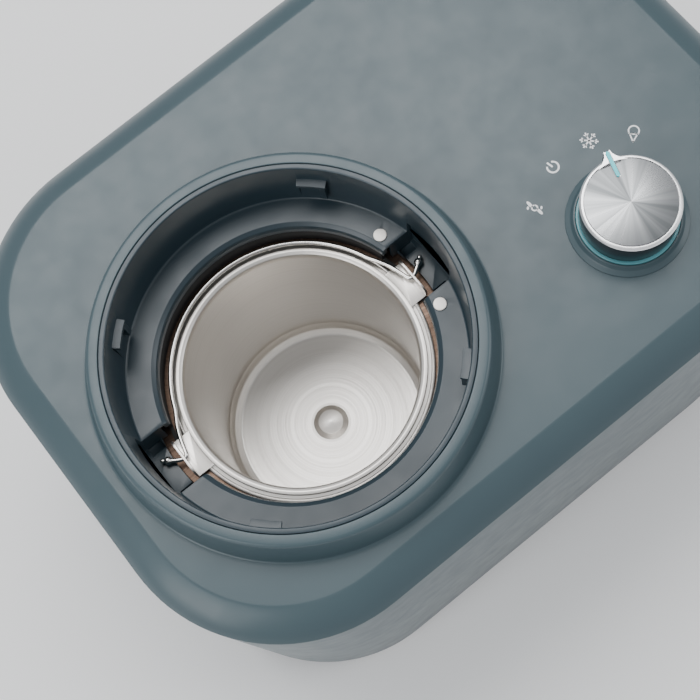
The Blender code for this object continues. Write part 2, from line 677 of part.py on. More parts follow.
def knob():
    place = (*KNOB, 0)
    turned("knob_bezel", [(27.4, FLAT_Z + GAP), (32.4, FLAT_Z + GAP), (32.2, 217.4), (29.4, 218.6),
                          (28.0, 221.0), (27.4, 221.0)],
           teal_plastic(), centre=place)
    turned("light_ring", [(25.2, 199.6), (27.0, 199.6), (27.0, 211.2), (31.0, 211.2), (31.0, 213.4),
                          (27.0, 213.4), (27.0, 222.0), (25.2, 222.0)],
           finish("light_ring", (0.1, 0.62, 0.62), 0.2), centre=place)
    shaft = turned("encoder_shaft", [(0, 202.4), (3.0, 202.4), (3.0, 231.4), (2.6, 232), (0, 232)],
                   steel(), centre=place, steps=20)
    body = turned("knob_body", [
        (0, 240.2), (24.3, 240.2), (24.3, KNOB_TOP), (25.2, KNOB_TOP), (KNOB_R, 239.8),
        (25.6, 222.6), (23.6, 222.6), (24.0, 236.6), (8, 236.6), (8, 224), (3.3, 224), (3.3, 232.4),
        (0, 232.4)][::-1], finish("knob_metal", (0.45, 0.45, 0.46), 0.25, 1.0), centre=place)
    tip = 30.2
    beak = [knob_point(24.8, POINTER + 15), knob_point(24.8, POINTER - 15),
            knob_point(tip - 0.6, POINTER - 1.6), knob_point(tip, POINTER),
            knob_point(tip - 0.6, POINTER + 1.6)]
    bm = bmesh.new()
    add_prism(bm, beak, 232, KNOB_TOP)
    combine(body, new_piece("knob_beak", bm, steel()), "UNION")
    groove = bar(14.6, 31, 1.3, 240.3, 243)
    combine(body, new_piece("knob_groove", groove, steel()), "DIFFERENCE")
    disc = turned("knob_disc", [(0, 240.5), (24.0, 240.5), (24.0, 240.9), (23.7, KNOB_TOP),
                                (0, KNOB_TOP)], aluminium(), centre=place)
    combine(disc, new_piece("disc_slot", bar(14.6, 31, 1.3, 239, 243), steel()), "DIFFERENCE")
    pointer = new_piece("knob_pointer", bar(15, 30, 1.0, 240.6, KNOB_TOP + 0.1),
                        finish("pointer_cyan", (0.05, 0.75, 0.85), 0.3))
    for piece in (shaft, body, disc, pointer):
        set_origin(piece, (*KNOB, KNOB_TOP))


def bar(near, far, half_width, low, high):
    """A straight bar along the pointer's direction."""
    along = Vector((math.cos(math.radians(POINTER)), math.sin(math.radians(POINTER))))
    across = Vector((-along.y, along.x))
    middle = Vector(KNOB)
    outline = [middle + along * a + across * b for a, b in
               ((near, -half_width), (far, -half_width), (far, half_width), (near, half_width))]
    bm = bmesh.new()
    add_prism(bm, [tuple(point) for point in outline], low, high)
    return bm


def bowl():
    metal = aluminium()
    out = BOWL_IN + SHEET
    piece = turned("bowl", [
        (0, 45.6), (8, 43.9), (11.3, 41.8), (59, 41.8), (64.2, 44.2), (out, 50), (out, 176.4),
        (68.8, 179.4), (74.2, 179.4), (74.2, 180.6), (73.4, 181.0), (70.3, 181.2), (70.2, 182.1), (68.2, RIM_Z),
        (66.2, 181.2), (BOWL_IN, 177.6), (65.2, 50.6), (63.2, 45.4), (58.8, BOWL_FLOOR),
        (11.3, BOWL_FLOOR), (8, 45.1), (0, 46.8)], metal, centre=(*WELL, 0))
    bm = bmesh.new()
    for side in (1, -1):
        x0, x1 = sorted((WELL[0] + side * 69.2, WELL[0] + side * (EAR_X - 0.3)))
        add_box(bm, (x0, WELL[1] - 12, 180.2), (x1, WELL[1] + 12, 181.4))
    combine(piece, new_piece("bowl_tabs", bm, metal), "UNION")
    bm = bmesh.new()
    for side in (1, -1):
        before = set(bm.verts)
        add_prism(bm, [(-12, 180.1), (12, 180.1), (12, 184.5), (8.5, 189), (-8.5, 189), (-12, 184.5)],
                  -0.6, 0.6)
        fresh = [vert for vert in bm.verts if vert not in before]
        upright = Matrix(((0, 0, 1, WELL[0] + side * EAR_X), (1, 0, 0, WELL[1]), (0, 1, 0, 0),
                          (0, 0, 0, 1)))
        bmesh.ops.transform(bm, matrix=upright, verts=fresh)
    combine(piece, new_piece("bowl_upstands", bm, metal), "UNION")
    bm = bmesh.new()
    for side in (1, -1):
        add_turned(bm, [(0, -3), (2.4, -3), (2.4, 3), (0, 3)], axis="X", steps=12,
                   centre=(WELL[0] + side * EAR_X, WELL[1], PIVOT_Z))
    combine(piece, new_piece("bowl_eyes", bm, metal), "DIFFERENCE")
    set_origin(piece, (*WELL, BOWL_FLOOR))


def bail_handle():
    """The wire in one plane: a half circle behind the bowl, with a hooked and pointed end each side."""
    tail = [(90.6, 6.9), (89.2, 5.9), (87.2, 4.3), (86.9, 4.1), (84.6, 2.4), (82.0, 0.7),
            (79.9, -0.1), (78.3, 0.1), (77.4, 1.2), (76.6, 4.4), (75.1, 9.7), (72.4, 17.0)]
    thickness = [0.15, 1.0, 1.55, 1.0, 1.0, 1.0, 1.0, 1.0, 1.0, 1.0, 1.0, 1.0]
    arc = []
    steps = 20
    for i in range(steps + 1):
        angle = math.radians(20 + 140 * i / steps)
        arc.append((BAIL * math.cos(angle), BAIL * math.sin(angle)))
    flat = tail + arc + [(-x, y) for x, y in reversed(tail)]
    path = [(WELL[0] + x, WELL[1] + y, PIVOT_Z) for x, y in flat]
    radii = thickness + [1.0] * len(arc) + thickness[::-1]
    piece = tube("bail_handle", [path], WIRE, steel(), sides=6, radii=radii)
    set_origin(piece, (*WELL, PIVOT_Z))


for thing in list(bpy.data.objects):
    bpy.data.objects.remove(thing)
housing()
top_cover()
well_collar()
gasket()
contacts()
can_and_cooling()
base()
compressor()
cooling_lines()
fan()
electronics()
inlet()
knob()
bowl()
bail_handle()
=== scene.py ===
import math

import bmesh
import bpy
from mathutils import Matrix, Vector


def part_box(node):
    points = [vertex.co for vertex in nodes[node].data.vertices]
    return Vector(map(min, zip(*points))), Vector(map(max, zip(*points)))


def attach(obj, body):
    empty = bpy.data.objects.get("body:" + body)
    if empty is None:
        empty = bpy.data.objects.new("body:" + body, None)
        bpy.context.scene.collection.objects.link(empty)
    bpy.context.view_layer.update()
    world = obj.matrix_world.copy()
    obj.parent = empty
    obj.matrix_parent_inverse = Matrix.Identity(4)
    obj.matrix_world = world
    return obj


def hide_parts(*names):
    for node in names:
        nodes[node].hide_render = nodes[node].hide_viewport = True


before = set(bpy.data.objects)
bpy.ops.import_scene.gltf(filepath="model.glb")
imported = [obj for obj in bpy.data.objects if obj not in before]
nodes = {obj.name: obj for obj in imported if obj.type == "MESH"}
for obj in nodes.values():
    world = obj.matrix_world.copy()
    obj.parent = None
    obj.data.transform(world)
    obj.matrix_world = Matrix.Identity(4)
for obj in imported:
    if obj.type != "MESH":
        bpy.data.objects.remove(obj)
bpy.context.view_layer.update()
print("frame loaded")

mm = 0.001


# middle of a CAD node, in millimetres
def middleOf(node):
    low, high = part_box(node)
    return (low + high) / 2 / mm


wellAt = middleOf("evaporator_can").xy
knobAt = middleOf("encoder_shaft").xy
bodyLow, bodyHigh = [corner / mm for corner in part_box("housing_shell")]

body = {
    "length": bodyHigh.x - bodyLow.x,
    "depth": bodyHigh.y - bodyLow.y,
    "corner": 95.0,       # radius of the corners in plan
    "cornerSteps": 24,
    "parting": 205.0,     # joint between housing and cover
    "flat": 216.6,
}


def clearSelection():
    if bpy.context.mode != "OBJECT":
        bpy.ops.object.mode_set(mode="OBJECT")
    bpy.ops.object.select_all(action="DESELECT")


def makeActive(piece):
    clearSelection()
    piece.select_set(True)
    bpy.context.view_layer.objects.active = piece


def openMesh(piece):
    makeActive(piece)
    bpy.ops.object.mode_set(mode="EDIT")
    bpy.ops.mesh.select_all(action="SELECT")


# in edit mode: selects the edges or faces that pass a test
def pick(piece, kind, test):
    bpy.ops.mesh.select_mode(type="FACE" if kind == "faces" else "EDGE")
    bpy.ops.mesh.select_all(action="DESELECT")
    mesh = bmesh.from_edit_mesh(piece.data)
    for item in getattr(mesh, kind):
        if test(item):
            item.select_set(True)
    bmesh.update_edit_mesh(piece.data)


def nameIt(name):
    piece = bpy.context.object
    piece.name = name
    piece.data.name = name
    return piece


def settle(piece):
    makeActive(piece)
    bpy.ops.object.transform_apply(location=True, rotation=True, scale=True)
    return piece


# merges what meets, turns the faces outwards and smooths what is round
def closeMesh(piece, angle=32):
    settle(piece)
    openMesh(piece)
    bpy.ops.mesh.remove_doubles(threshold=0.002 * mm)
    bpy.ops.mesh.normals_make_consistent(inside=False)
    return smooth(piece, angle)


def smooth(piece, angle=32):
    makeActive(piece)
    bpy.ops.object.shade_smooth_by_angle(angle=math.radians(angle))
    return piece


def modify(piece, kind, **settings):
    makeActive(piece)
    modifier = piece.modifiers.new(kind.lower(), kind)
    for key, value in settings.items():
        setattr(modifier, key, value)
    bpy.ops.object.modifier_apply(modifier=modifier.name)
    return piece


def combine(piece, tool, operation="DIFFERENCE"):
    modify(piece, "BOOLEAN", operation=operation, object=tool, solver="EXACT")
    bpy.data.objects.remove(tool)
    return piece


def soften(piece, width, segments=2, angle=40):
    return modify(piece, "BEVEL", width=width * mm, segments=segments, limit_method="ANGLE",
                  angle_limit=math.radians(angle), use_clamp_overlap=True)


def joined(pieces):
    clearSelection()
    for piece in pieces:
        piece.select_set(True)
    bpy.context.view_layer.objects.active = pieces[0]
    bpy.ops.object.join()
    return pieces[0]


# a corner with a third value becomes an arc of that radius
def rounded(outline, steps=5):
    points = []
    for i, corner in enumerate(outline):
        here = Vector(corner[:2])
        if len(corner) < 3:
            points.append(here)
            continue
        back = Vector(outline[i - 1][:2]) - here
        ahead = Vector(outline[(i + 1) % len(outline)][:2]) - here
        half = back.angle(ahead) / 2
        reach = min(corner[2] / math.tan(half), 0.48 * back.length, 0.48 * ahead.length)
        bisector = (back.normalized() + ahead.normalized()).normalized()
        middle = here + bisector * reach / math.cos(half)
        first = here + back.normalized() * reach - middle
        turn = first.angle_signed(here + ahead.normalized() * reach - middle)
        for step in range(steps + 1):
            points.append(middle + Matrix.Rotation(-turn * step / steps, 2) @ first)
    return points


# extrudes the selected ring from point to point of (radius, height)
def walkRing(points, centre):
    x, y = centre[0] * mm, centre[1] * mm
    radius, height = points[0]
    for nextRadius, nextHeight in points[1:]:
        bpy.ops.mesh.extrude_region_move(
            TRANSFORM_OT_translate={"value": (0, 0, (nextHeight - height) * mm)})
        scale = nextRadius / radius
        bpy.ops.transform.resize(value=(scale, scale, 1), center_override=(x, y, nextHeight * mm))
        radius, height = nextRadius, nextHeight


# a solid of revolution; an outline that isn't a loop is closed by flat ends
def turned(name, outline, centre, steps=144, loop=False, arcSteps=5):
    points = rounded(outline, arcSteps)
    if loop:
        points.append(points[0])
    clearSelection()
    bpy.ops.mesh.primitive_circle_add(
        vertices=steps, radius=points[0][0] * mm,
        location=(centre[0] * mm, centre[1] * mm, points[0][1] * mm))
    piece = nameIt(name)
    openMesh(piece)
    walkRing(points, centre)
    if not loop:
        pick(piece, "edges", lambda edge: edge.is_boundary)
        bpy.ops.mesh.edge_face_add()
    return closeMesh(piece)


def block(name, low, high, edge=0.0, segments=3):
    clearSelection()
    bpy.ops.mesh.primitive_cube_add(
        size=1, location=[(a + b) / 2 * mm for a, b in zip(low, high)],
        scale=[(b - a) * mm for a, b in zip(low, high)])
    piece = settle(nameIt(name))
    if edge:
        openMesh(piece)
        bpy.ops.mesh.bevel(offset=edge * mm, segments=segments, affect="EDGES")
        clearSelection()
    return piece


# a rectangle, turned and then sized
def plate(name, at, size, rotation=(0, 0, 0)):
    clearSelection()
    bpy.ops.mesh.primitive_plane_add(size=1, location=[value * mm for value in at],
                                     rotation=[math.radians(value) for value in rotation])
    piece = nameIt(name)
    piece.scale = (size[0] * mm, size[1] * mm, 1)
    return settle(piece)


def rod(name, radius, low, high, centre, steps=48):
    clearSelection()
    bpy.ops.mesh.primitive_cylinder_add(
        vertices=steps, radius=radius * mm, depth=(high - low) * mm,
        location=(centre[0] * mm, centre[1] * mm, (low + high) / 2 * mm))
    return settle(nameIt(name))


# turns a piece about an upright line through a centre
def turnAbout(piece, degrees, centre):
    shift = Matrix.Translation((centre[0] * mm, centre[1] * mm, 0))
    piece.data.transform(shift @ Matrix.Rotation(math.radians(degrees), 4, "Z") @ shift.inverted())
    return piece


def polar(centre, radius, degrees):
    return Vector((centre[0] + radius * math.cos(math.radians(degrees)),
                   centre[1] + radius * math.sin(math.radians(degrees))))


# part of a ring of square section, made by turning an upright rectangle
def arcBlock(name, inner, outer, low, high, start, end, centre, steps=12):
    piece = plate(name, (centre[0] + (inner + outer) / 2, centre[1], (low + high) / 2),
                  (outer - inner, high - low), (90, 0, 0))
    openMesh(piece)
    bpy.ops.mesh.spin(steps=steps, angle=math.radians(end - start),
                      center=(centre[0] * mm, centre[1] * mm, 0), axis=(0, 0, 1))
    closeMesh(piece)
    # the operator's sense of turning is read back from the mesh
    swing = sum((vertex.co.y - centre[1] * mm) for vertex in piece.data.vertices)
    return turnAbout(piece, start if swing > 0 else end, centre)


# flat outline of the body's plan with its round corners, as one upward face
def planFace(name, inset, height):
    piece = plate(name, (0, 0, height), (body["length"] - 2 * inset, body["depth"] - 2 * inset))
    openMesh(piece)
    bpy.ops.mesh.bevel(offset=(body["corner"] - inset) * mm, segments=body["cornerSteps"],
                       affect="VERTICES")
    return piece


# materials

def newMaterial(name, colour, roughness, metallic=0.0):
    material = bpy.data.materials.new(name)
    material.use_nodes = True
    shader = material.node_tree.nodes["Principled BSDF"]
    shader.inputs["Base Color"].default_value = (*colour, 1)
    shader.inputs["Roughness"].default_value = roughness
    shader.inputs["Metallic"].default_value = metallic
    return material


def add(material, kind, **settings):
    node = material.node_tree.nodes.new("ShaderNode" + kind)
    for key, value in settings.items():
        if key in node.inputs:
            node.inputs[key].default_value = value
        else:
            setattr(node, key, value)
    return node


def link(material, source, target):
    material.node_tree.links.new(source, target)


def shaderOf(material):
    return material.node_tree.nodes["Principled BSDF"]


def noise(material, vector, scale, detail=3.0):
    node = add(material, "TexNoise", Scale=scale, Detail=detail)
    link(material, vector, node.inputs["Vector"])
    return node.outputs["Fac"]


# spreads a 0 to 1 value between two limits
def spread(material, value, low, high):
    node = add(material, "MapRange")
    node.inputs["From Min"].default_value = 0.3
    node.inputs["From Max"].default_value = 0.7
    node.inputs["To Min"].default_value = low
    node.inputs["To Max"].default_value = high
    link(material, value, node.inputs["Value"])
    return node.outputs["Result"]


def mixColours(material, value, first, second):
    node = add(material, "Mix", data_type="RGBA")
    link(material, value, node.inputs["Factor"])
    node.inputs["A"].default_value = (*first, 1)
    node.inputs["B"].default_value = (*second, 1)
    return node.outputs["Result"]


def bump(material, value, strength, depth):
    node = add(material, "Bump", Strength=strength, Distance=depth)
    link(material, value, node.inputs["Height"])
    link(material, node.outputs["Normal"], shaderOf(material).inputs["Normal"])
    return node


# clouded colour, uneven gloss and a fine grain
def grained(name, light, dark, roughness, metallic=0.0, cloud=18.0, grain=1500.0, depth=0.00003,
            strength=0.25, uneven=0.04):
    material = newMaterial(name, light, roughness, metallic)
    place = add(material, "TexCoord").outputs["Object"]
    clouds = spread(material, noise(material, place, cloud), 0.0, 1.0)
    shader = shaderOf(material)
    link(material, mixColours(material, clouds, light, dark), shader.inputs["Base Color"])
    gloss = spread(material, noise(material, place, cloud * 4),
                   roughness - uneven, roughness + uneven)
    link(material, gloss, shader.inputs["Roughness"])
    bump(material, noise(material, place, grain, 2.0), strength, depth)
    return material


# metal with fine lines, around an upright axis or outwards from it, and on request two painted
# reflection wedges
def brushed(name, light, dark, roughness, centre, outwards=False, metallic=1.0, lines=2600.0,
            strength=0.2, paintedReflectionWedges=None):
    material = newMaterial(name, light, roughness, metallic)
    shader = shaderOf(material)
    mapping = add(material, "Mapping")
    mapping.inputs["Location"].default_value = (-centre[0] * mm, -centre[1] * mm, 0)
    link(material, add(material, "TexCoord").outputs["Object"], mapping.inputs["Vector"])
    parts = add(material, "SeparateXYZ")
    link(material, mapping.outputs["Vector"], parts.inputs["Vector"])
    along = add(material, "CombineXYZ")
    if outwards:
        angle = add(material, "Math", operation="ARCTAN2")
        link(material, parts.outputs["Y"], angle.inputs[0])
        link(material, parts.outputs["X"], angle.inputs[1])
        link(material, angle.outputs["Value"], along.inputs["X"])
        scale = lines / 40
    else:
        level = add(material, "VectorMath", operation="MULTIPLY")
        level.inputs[1].default_value = (1, 1, 0)
        link(material, mapping.outputs["Vector"], level.inputs[0])
        radius = add(material, "VectorMath", operation="LENGTH")
        link(material, level.outputs["Vector"], radius.inputs[0])
        link(material, radius.outputs["Value"], along.inputs["X"])
        link(material, parts.outputs["Z"], along.inputs["Y"])
        scale = lines
    lineValue = noise(material, along.outputs["Vector"], scale, 4.0)
    if paintedReflectionWedges is not None:
        # two opposite bright wedges set in the base colour by the angle about the centre: a painted
        # reflection, as spun metal shows
        double = add(material, "Math", operation="MULTIPLY_ADD")
        double.inputs[1].default_value = 2
        double.inputs[2].default_value = math.radians(-2 * paintedReflectionWedges)
        link(material, angle.outputs["Value"], double.inputs[0])
        wave = add(material, "Math", operation="COSINE")
        link(material, double.outputs["Value"], wave.inputs[0])
        shift = add(material, "Math", operation="MULTIPLY_ADD")
        shift.inputs[1].default_value = -0.16
        link(material, wave.outputs["Value"], shift.inputs[0])
        link(material, lineValue, shift.inputs[2])
        lineValue = shift.outputs["Value"]
    link(material, mixColours(material, spread(material, lineValue, 0, 1), light, dark),
         shader.inputs["Base Color"])
    link(material, spread(material, lineValue, roughness - 0.05, roughness + 0.07),
         shader.inputs["Roughness"])
    bump(material, lineValue, strength, 0.00002)
    return material


def wear(piece, material):
    piece.data.materials.clear()
    piece.data.materials.append(material)
    for polygon in piece.data.polygons:
        polygon.material_index = 0
    return piece


# gives a finished piece its body, finish and the nodes it stands for
def place(piece, riding, material, slot, *stoodFor):
    wear(piece, material)
    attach(piece, riding)
    if stoodFor:
        # the CAD node keeps its name, so the shown piece has one of its own
        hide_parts(*stoodFor)
    return piece


tealPlastic = grained("teal_plastic", (0.052, 0.084, 0.097), (0.048, 0.078, 0.091), 0.35,
                      grain=2600, strength=0.16)
# a darker copy of the teal plastic: painted shade for the collar insert down in the well
tealShadedCopy = grained("teal_shaded_copy", (0.022, 0.04, 0.052), (0.019, 0.035, 0.046), 0.33,
                    grain=2600, strength=0.12)
blackPlastic = grained("black_plastic", (0.022, 0.022, 0.024), (0.03, 0.03, 0.032), 0.45)
basePlastic = grained("base_plastic", (0.075, 0.085, 0.09), (0.06, 0.07, 0.075), 0.55)
blackRubber = grained("black_rubber", (0.02, 0.02, 0.02), (0.032, 0.031, 0.03), 0.75, grain=900,
                      strength=0.4)
zincSteel = grained("zinc_steel", (0.56, 0.56, 0.57), (0.42, 0.42, 0.42), 0.34, 1.0, cloud=60)
copperTube = grained("copper_tube", (0.72, 0.38, 0.26), (0.5, 0.24, 0.16), 0.3, 1.0, cloud=40)
compressorPaint = grained("compressor_paint", (0.012, 0.012, 0.013), (0.02, 0.02, 0.021), 0.3,
                          grain=500, strength=0.3)
paleFoam = grained("pale_foam", (0.76, 0.73, 0.62), (0.66, 0.62, 0.5), 0.9, grain=400, strength=0.7,
                   depth=0.0004)
greenBoard = grained("green_board", (0.02, 0.16, 0.07), (0.03, 0.2, 0.09), 0.3)
greyLead = grained("grey_lead", (0.16, 0.16, 0.17), (0.2, 0.2, 0.2), 0.5)
bowlMetal = brushed("bowl_metal", (0.80, 0.77, 0.73), (0.74, 0.71, 0.67), 0.36, wellAt, lines=1800,
                    strength=0.12)
# aluminium can: its brown colour is a painted warm reflection
canMetalPaintedReflection = brushed("can_painted_warm_reflection", (0.23, 0.155, 0.115), (0.12, 0.08, 0.06), 0.42, wellAt,
                   outwards=True, lines=2400, strength=0.5)
wireSteel = grained("wire_steel", (0.82, 0.80, 0.77), (0.72, 0.70, 0.67), 0.2, 1.0, cloud=90,
                    grain=3000, strength=0.1)
knobSteel = brushed("knob_steel", (0.2, 0.2, 0.21), (0.1, 0.1, 0.11), 0.3, knobAt, lines=3200,
                    strength=0.25)
# the knob's face: spun lines, with two painted reflection wedges in its colour
knobFace = brushed("knob_face", (0.42, 0.43, 0.44), (0.16, 0.17, 0.175), 0.3, knobAt, outwards=True,
                   lines=110, strength=0.05, paintedReflectionWedges=10.0)
knobEdge = grained("knob_edge", (0.97, 0.97, 0.97), (0.94, 0.94, 0.95), 0.22, 0.6)
cyanPlastic = grained("cyan_plastic", (0.05, 0.66, 0.74), (0.07, 0.7, 0.78), 0.25)
ringPlastic = grained("ring_plastic", (0.10, 0.30, 0.34), (0.12, 0.34, 0.38), 0.14)
contactMetal = grained("contact_metal", (0.93, 0.9, 0.84), (0.88, 0.85, 0.79), 0.5, 0.6, cloud=60)
whitePrint = grained("white_print", (0.95, 0.96, 0.96), (0.92, 0.93, 0.94), 0.45, grain=3000,
                     strength=0.1)
print("materials made")

for name, material in {
    "collar_screw_1": zincSteel, "collar_screw_2": zincSteel, "collar_screw_3": zincSteel,
    "collar_screw_4": zincSteel, "evaporator_coil": copperTube, "insulation_cup": paleFoam,
    "well_sensor": copperTube, "compressor_body": compressorPaint,
    "compressor_plate": compressorPaint, "compressor_grommet_1": blackRubber,
    "compressor_grommet_2": blackRubber, "compressor_grommet_3": blackRubber,
    "compressor_bolt_1": zincSteel, "compressor_bolt_2": zincSteel,
    "compressor_bolt_3": zincSteel, "compressor_cap": blackPlastic,
    "condenser_tube": copperTube, "condenser_grid": zincSteel, "filter_drier": copperTube,
    "discharge_tube": copperTube, "capillary_tube": copperTube, "suction_tube": copperTube,
    "fan_frame": blackPlastic, "fan_bracket": zincSteel, "fan_motor": copperTube,
    "fan_rotor": blackPlastic, "power_board": greenBoard, "control_board": greenBoard,
    "rotary_encoder": zincSteel, "inlet_pin_line": zincSteel, "inlet_pin_neutral": zincSteel,
    "inlet_pin_earth": zincSteel, "mains_lead": greyLead, "contact_lead_rear": greyLead,
    "contact_lead_front": greyLead, "encoder_shaft": zincSteel,
    "base_screw_rear_right": zincSteel, "base_screw_rear_left": zincSteel,
    "base_screw_front_left": zincSteel, "base_screw_front_right": zincSteel,
}.items():
    wear(nodes[name], material)

# housing: a wall with round corners, its slots and the inlet's opening

housing = {"wall": 2.5, "floor": 8.0, "top": 204.7, "edge": 0.7, "slotPitch": 9.0, "slotHalf": 1.8,
           "endSlots": 11, "endFirst": -45.0, "endLow": 36.0, "endHigh": 126.0,
           "rearSlots": 9, "rearFirst": -10.0, "rearLow": 44.0, "rearHigh": 116.0,
           "inletX": 100.0, "inletZ": 30.0}


# one slot with round ends that cuts the end wall or the rear wall
def slotTool(across, low, high, atEnd):
    half = housing["slotHalf"]
    if atEnd:
        edge = body["length"] / 2
        tool = block("slot", (edge - 6, across - half, low), (edge + 3, across + half, high))
    else:
        edge = body["depth"] / 2
        tool = block("slot", (across - half, edge - 6, low), (across + half, edge + 3, high))
    openMesh(tool)
    axis = 0 if atEnd else 1
    pick(tool, "edges",
         lambda edge: abs((edge.verts[0].co - edge.verts[1].co).normalized()[axis]) > 0.9)
    bpy.ops.mesh.bevel(offset=(half - 0.02) * mm, segments=5, affect="EDGES")
    clearSelection()
    return tool


def makeHousing():
    shell = planFace("housing_wall", 0, housing["top"])
    bpy.ops.mesh.delete(type="ONLY_FACE")
    bpy.ops.mesh.select_all(action="SELECT")
    bpy.ops.mesh.extrude_region_move(
        TRANSFORM_OT_translate={"value": (0, 0, (housing["floor"] - housing["top"]) * mm)})
    closeMesh(shell)
    modify(shell, "SOLIDIFY", thickness=housing["wall"] * mm, offset=-1, use_even_offset=True)
    slots = [slotTool(housing["endFirst"] + housing["slotPitch"] * i, housing["endLow"],
                      housing["endHigh"], True) for i in range(housing["endSlots"])]
    slots += [slotTool(housing["rearFirst"] + housing["slotPitch"] * i, housing["rearLow"],
                       housing["rearHigh"], False) for i in range(housing["rearSlots"])]
    combine(shell, joined(slots))
    x, z = housing["inletX"], housing["inletZ"]
    combine(shell, block("inlet_gap", (x - 14, body["depth"] / 2 - 6, z - 11),
                         (x + 14, body["depth"] / 2 + 3, z + 11)))
    soften(shell, housing["edge"], 3)
    return place(smooth(shell), "base", tealPlastic, "teal_plastic", "housing_shell")


makeHousing()
print("housing made")

# top cover: edge, flat, raised collar and posts

cover = {"edgeIn": 18.0, "turn": 20.0, "edgeSteps": 16, "skin": 2.2, "support": 0.6,
         "knobHole": 27.4, "postFromCorner": 82.0, "bossRadius": 112.6,
         "screwAngles": (30, 120, 210, 300)}
collarOutline = [(113.6, 216.6), (112.6, 216.6), (109.9, 216.6, 2.2), (104.9, 236.0, 2.4),
                 (98.6, 236.0, 0.5), (98.6, 209.0)]


# an arc between two slopes, as (inset, height)
def edgeLevels():
    drop = body["flat"] - body["parting"]
    lean = math.atan2(drop, cover["edgeIn"])
    turn = math.radians(cover["turn"])
    radius = math.hypot(cover["edgeIn"], drop) / (2 * math.sin(turn))
    levels = []
    for step in range(cover["edgeSteps"], -1, -1):
        angle = lean - turn + 2 * turn * step / cover["edgeSteps"]
        levels.append((cover["edgeIn"] - radius * (math.sin(angle) - math.sin(lean - turn)),
                       body["flat"] - radius * (math.cos(lean - turn) - math.cos(angle))))
    return levels


def cornerPoint(signX, signY, fromCorner):
    along = fromCorner * math.sqrt(0.5)
    return (signX * (body["length"] / 2 - body["corner"] + along),
            signY * (body["depth"] / 2 - body["corner"] + along))


def isRim(edge, centre, radius):
    return all(abs((vertex.co.xy / mm - centre).length - radius) < 0.3 for vertex in edge.verts)


def makeCover():
    levels = edgeLevels()
    skin = planFace("cover_skin", 0, levels[0][1])
    for (inset, height), (nextInset, nextHeight) in zip(levels, levels[1:]):
        bpy.ops.mesh.inset(thickness=(nextInset - inset) * mm, depth=(nextHeight - height) * mm)
    bpy.ops.mesh.inset(thickness=cover["support"] * mm, depth=0)
    bpy.ops.mesh.delete(type="ONLY_FACE")
    rings = ((wellAt, rounded(collarOutline)),
             (knobAt, [Vector(point) for point in (
                 (cover["knobHole"] + 1.2, body["flat"]), (cover["knobHole"] + 0.6, body["flat"]),
                 (cover["knobHole"], body["flat"] - 0.4),
                 (cover["knobHole"], body["flat"] - 2.0))]))
    for centre, outline in rings:
        bpy.ops.mesh.primitive_circle_add(
            vertices=144, radius=outline[0][0] * mm,
            location=(centre[0] * mm, centre[1] * mm, body["flat"] * mm))
    pick(skin, "edges", lambda edge: edge.is_wire or (
        edge.is_boundary and edge.verts[0].co.z > (body["flat"] - 0.1) * mm))
    bpy.ops.mesh.fill(use_beauty=True)
    for centre, outline in rings:
        pick(skin, "edges", lambda edge: edge.is_boundary and isRim(edge, centre, outline[0][0]))
        walkRing(outline, centre)
    closeMesh(skin)
    modify(skin, "SOLIDIFY", thickness=cover["skin"] * mm, offset=-1, use_even_offset=False)
    posts = [rod("post", 4.4, 11.2, body["flat"] - 4,
                 cornerPoint(sx, sy, cover["postFromCorner"]), 24)
             for sx in (1, -1) for sy in (1, -1)]
    posts += [rod("boss", 3.4, 211.3, body["flat"] - 1,
                  polar(wellAt, cover["bossRadius"], angle), 24)
              for angle in cover["screwAngles"]]
    panelLow, panelHigh = [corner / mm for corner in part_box("control_board")]
    posts += [rod("panel_post", 3.0, 197.9, body["flat"] - 1, (x, y), 24)
              for x in (panelLow.x + 5, panelHigh.x - 5) for y in (panelLow.y + 5, panelHigh.y - 5)]
    combine(skin, joined(posts), "UNION")
    return place(smooth(skin), "base", tealPlastic, "teal_plastic", "top_cover")


makeCover()
print("cover made")

# the insert in the collar: ledge, notches, lugs

insert = {"notchHalf": 18.0, "notchOut": 96.2, "wall": 2.1, "pad": 182.5, "mouth": 84.9,
          "wallTop": 198.5, "wallIn": 79.6, "backStart": -11.7, "backEnd": 11.8,
          "padHalf": 12.5, "lugIn": 90.2, "lugOut": 95.9, "lugLow": 221.0, "lugHigh": 223.5,
          "lugAngles": (45, 135, 225, 315), "contactRadius": 83.1, "contactAngle": 18.1}
insertOutline = [(98.3, 211.0), (98.3, 235.7, 0.35), (95.2, 235.7, 0.9), (93.6, 199.5, 1.4),
                 (79.2, 199.5, 0.8), (76.9, 198.0, 1.0), (76.2, 195.8, 0.8), (76.2, 192.0, 0.25),
                 (79.4, 192.0, 0.25), (79.4, 197.0), (95.0, 197.0), (98.3, 208.5), (117.0, 208.5),
                 (117.0, 211.0)]


# a block with straight flanks and an outer end about the well's axis, on one side
def notchBlock(half, outer, inner, low, high, side):
    piece = rod("notch", outer, low, high, wellAt, 144)
    openMesh(piece)
    planes = (((0, 1, 0), half), ((0, -1, 0), half), ((-side, 0, 0), -inner))
    for normal, reach in planes:
        point = ((wellAt[0] + normal[0] * reach) * mm, (wellAt[1] + normal[1] * reach) * mm, 0)
        bpy.ops.mesh.select_all(action="SELECT")
        bpy.ops.mesh.bisect(plane_co=point, plane_no=normal, use_fill=True, clear_outer=True)
    return closeMesh(piece)


